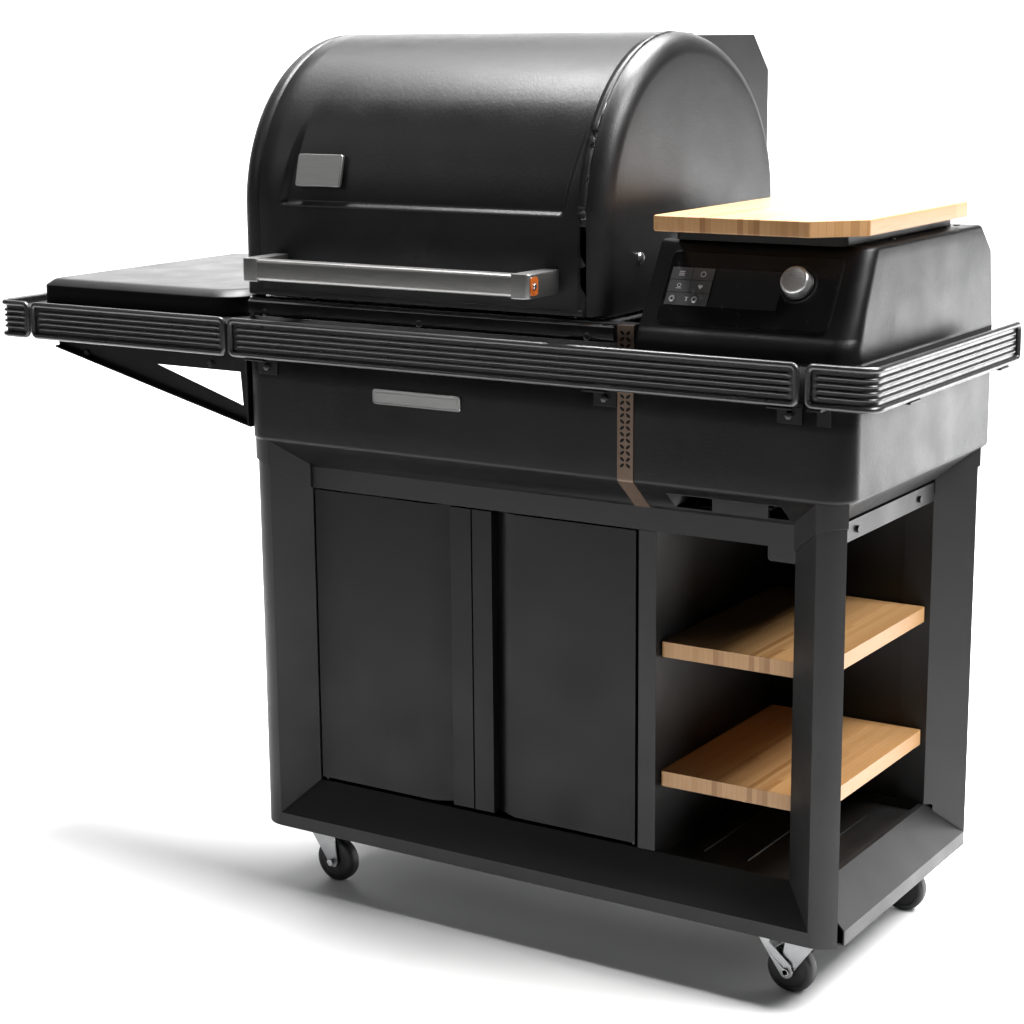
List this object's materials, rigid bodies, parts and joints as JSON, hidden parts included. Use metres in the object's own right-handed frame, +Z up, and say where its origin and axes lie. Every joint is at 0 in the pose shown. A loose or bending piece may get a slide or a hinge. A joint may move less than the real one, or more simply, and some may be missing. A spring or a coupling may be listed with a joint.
{
  "type": "pellet smoker grill",
  "caption": "Wheeled pellet smoker with a domed hood, hopper and control console, side shelf with covered cooktop, accessory rails and a cabinet with doors and wooden shelves",
  "frame": {"origin": "centre of the bounding box footprint, at floor level", "axes": "+Z up, -Y toward the user at the front, +X to the user's right"},
  "size_m": [1.512, 0.638, 1.3125],
  "materials": {
    "powder_coat": "fine textured black powder coat",
    "cabinet_paint": "satin dark grey powder coat",
    "rail_steel": "semi-gloss dark grey coat",
    "bamboo": "laminated bamboo strips, oiled",
    "black_glass": "polished black glass",
    "brushed_steel": "brushed along its length",
    "amber": "amber brown, slightly glossy",
    "bronze": "satin bronze",
    "enamel": "dark grey porcelain enamel",
    "steel_rods": "bare steel bars",
    "galvanised": "zinc plated",
    "wheel_rubber": "matte black rubber",
    "black_plastic": "moulded black plastic"
  },
  "bodies": {
    "cabinet": {"bamboo_shelves": "bamboo", "base_floor": "cabinet_paint", "base_rails": "cabinet_paint", "body_front": "powder_coat", "body_pan": "powder_coat", "body_screws": "galvanised", "body_walls": "powder_coat", "bronze_strip": "bronze", "cabinet_panels": "cabinet_paint", "cabinet_posts": "cabinet_paint", "caster_mounts": "galvanised", "console_shell": "powder_coat", "control_panel": "black_glass", "cook_chamber": "enamel", "cooktop_glass": "black_glass", "divider": "cabinet_paint", "drip_tray": "enamel", "drive_housing": "black_plastic", "fire_pot_and_auger_tube": "galvanised", "front_plate": "brushed_steel", "grates": "steel_rods", "heat_baffle": "enamel", "hood_hinge_base": "powder_coat", "hopper_bin": "galvanised", "post_caps": "powder_coat", "power_inlet": "black_plastic", "rail_clips": "rail_steel", "rail_left": "rail_steel", "rail_main": "rail_steel", "rail_right": "rail_steel", "rail_shelf": "rail_steel", "screen_and_tiles": "black_glass", "shelf_gussets": "powder_coat", "side_shelf": "powder_coat", "top_frame": "cabinet_paint"},
    "hood": {"hood_shell": "powder_coat", "hood_liner": "enamel", "exhaust_housing": "powder_coat", "hood_badge": "brushed_steel", "handle_bar": "brushed_steel", "handle_brackets": "brushed_steel", "handle_inserts": "amber"},
    "door_left": {"door_left": "cabinet_paint"},
    "door_right": {"door_right": "cabinet_paint"},
    "hopper_lid": {"hopper_lid": "galvanised"},
    "cutting_board": {"cutting_board": "bamboo"},
    "cooktop_cover": {"cooktop_cover": "powder_coat"},
    "control_knob": {"control_knob": "brushed_steel"},
    "cleanout_gate": {"cleanout_gate": "galvanised"},
    "grease_keg": {"grease_keg": "galvanised"},
    "auger": {"auger": "galvanised"},
    "brake_lever": {"brake_lever": "galvanised"},
    "caster_fork_fl": {"caster_fork_fl": "galvanised"},
    "caster_wheel_fl": {"caster_wheel_fl": "wheel_rubber"},
    "caster_fork_fr": {"caster_fork_fr": "galvanised"},
    "caster_wheel_fr": {"caster_wheel_fr": "wheel_rubber"},
    "caster_fork_rl": {"caster_fork_rl": "galvanised"},
    "caster_wheel_rl": {"caster_wheel_rl": "wheel_rubber"},
    "caster_fork_rr": {"caster_fork_rr": "galvanised"},
    "caster_wheel_rr": {"caster_wheel_rr": "wheel_rubber"}
  },
  "joints": [
    {"name": "hood_hinge", "type": "hinge", "parent": "cabinet", "child": "hood", "pos_m": [0.0295, 0.306, 0.931], "axis": [-1, 0, 0], "range_deg": [0, 65]},
    {"name": "door_left_hinge", "type": "hinge", "parent": "cabinet", "child": "door_left", "pos_m": [-0.1855, -0.185, 0.4], "axis": [0, 0, -1], "range_deg": [0, 100]},
    {"name": "door_right_hinge", "type": "hinge", "parent": "cabinet", "child": "door_right", "pos_m": [0.362, -0.185, 0.4], "axis": [0, 0, 1], "range_deg": [0, 100]},
    {"name": "hopper_lid_hinge", "type": "hinge", "parent": "cabinet", "child": "hopper_lid", "pos_m": [0.541, 0.2035, 1.046], "axis": [-1, 0, 0], "range_deg": [0, 75]},
    {"name": "cutting_board_lift", "type": "slide", "parent": "hopper_lid", "child": "cutting_board", "axis": [0, 0, 1], "range_m": [0, 0.2]},
    {"name": "cooktop_cover_lift", "type": "slide", "parent": "cabinet", "child": "cooktop_cover", "axis": [0, 0, 1], "range_m": [0, 0.3]},
    {"name": "grease_keg_drop", "type": "slide", "parent": "cabinet", "child": "grease_keg", "axis": [0, 0, -1], "range_m": [0, 0.3]},
    {"name": "cleanout_gate_pull", "type": "slide", "parent": "cabinet", "child": "cleanout_gate", "axis": [0, -1, 0], "range_m": [0, 0.06]},
    {"name": "control_knob_turn", "type": "hinge", "parent": "cabinet", "child": "control_knob", "pos_m": [0.61, -0.20791, 0.99666], "axis": [0, -0.8658, 0.5004], "continuous": true},
    {"name": "auger_turn", "type": "hinge", "parent": "cabinet", "child": "auger", "pos_m": [0.371, 0.011, 0.764], "axis": [1, 0, 0], "continuous": true},
    {"name": "caster_swivel_fl", "type": "hinge", "parent": "cabinet", "child": "caster_fork_fl", "pos_m": [-0.204, -0.167, 0.091], "axis": [0, 0, 1], "continuous": true},
    {"name": "caster_roll_fl", "type": "hinge", "parent": "caster_fork_fl", "child": "caster_wheel_fl", "pos_m": [-0.184, -0.167, 0.035], "axis": [0, 1, 0], "continuous": true},
    {"name": "caster_swivel_fr", "type": "hinge", "parent": "cabinet", "child": "caster_fork_fr", "pos_m": [0.626, -0.167, 0.091], "axis": [0, 0, 1], "continuous": true},
    {"name": "caster_roll_fr", "type": "hinge", "parent": "caster_fork_fr", "child": "caster_wheel_fr", "pos_m": [0.606, -0.167, 0.035], "axis": [0, 1, 0], "continuous": true},
    {"name": "caster_swivel_rl", "type": "hinge", "parent": "cabinet", "child": "caster_fork_rl", "pos_m": [-0.224, 0.186, 0.091], "axis": [0, 0, 1], "continuous": true},
    {"name": "caster_roll_rl", "type": "hinge", "parent": "caster_fork_rl", "child": "caster_wheel_rl", "pos_m": [-0.204, 0.186, 0.035], "axis": [0, 1, 0], "continuous": true},
    {"name": "caster_swivel_rr", "type": "hinge", "parent": "cabinet", "child": "caster_fork_rr", "pos_m": [0.646, 0.186, 0.091], "axis": [0, 0, 1], "continuous": true},
    {"name": "caster_roll_rr", "type": "hinge", "parent": "caster_fork_rr", "child": "caster_wheel_rr", "pos_m": [0.626, 0.186, 0.035], "axis": [0, 1, 0], "continuous": true},
    {"name": "brake_lever_press", "type": "hinge", "parent": "caster_fork_fr", "child": "brake_lever", "pos_m": [0.606, -0.187, 0.035], "axis": [0, -1, 0], "range_deg": [0, 25]}
  ]
}
